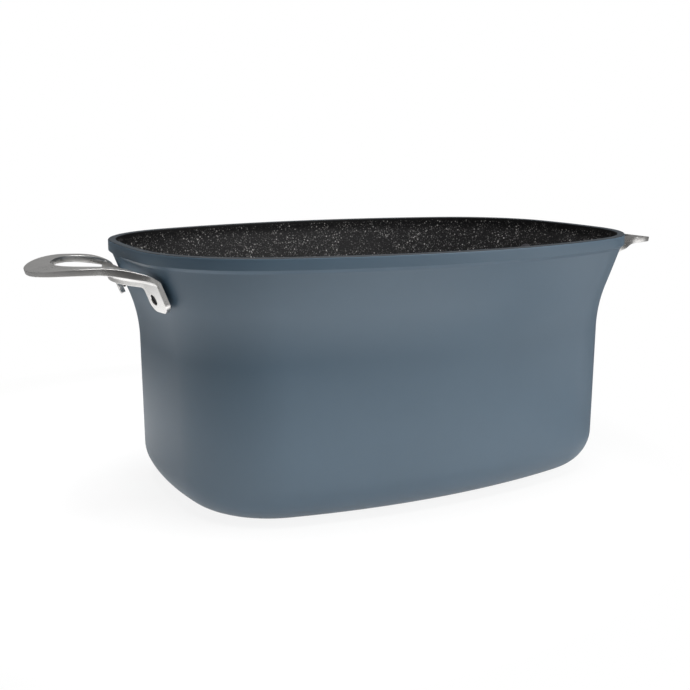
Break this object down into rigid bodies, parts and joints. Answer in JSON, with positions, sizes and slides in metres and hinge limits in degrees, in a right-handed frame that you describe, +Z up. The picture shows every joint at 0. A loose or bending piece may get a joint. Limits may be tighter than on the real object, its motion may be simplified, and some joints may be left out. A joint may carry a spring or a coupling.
{
  "type": "oblong stew pot",
  "caption": "Oblong flared stew pot, open on top, with a flat base, a banded rim and a cast loop handle riveted to each end on two legs.",
  "frame": {"origin": "centre of the flat base, on the surface the pot stands on", "axes": "+X along the pot towards its right handle, +Y to its rear, +Z up; the picture looks at the front and the left end"},
  "size_m": [0.4656, 0.2452, 0.1639],
  "materials": {
    "coated_body": "cast aluminium with a satin slate blue coating outside and a black speckled non-stick coating inside",
    "cast_steel": "bare cast stainless steel, blasted and lightly brushed",
    "dark_rivet": "dark coated steel, satin",
    "dark_spacer": "dark coated steel, satin"
  },
  "bodies": {
    "root": {"pot_body": "coated_body", "left_handle": "cast_steel", "right_handle": "cast_steel", "left_front_rivet": "dark_rivet", "left_rear_rivet": "dark_rivet", "right_front_rivet": "dark_rivet", "right_rear_rivet": "dark_rivet", "left_front_spacer": "dark_spacer", "left_rear_spacer": "dark_spacer", "right_front_spacer": "dark_spacer", "right_rear_spacer": "dark_spacer"}
  },
  "joints": []
}
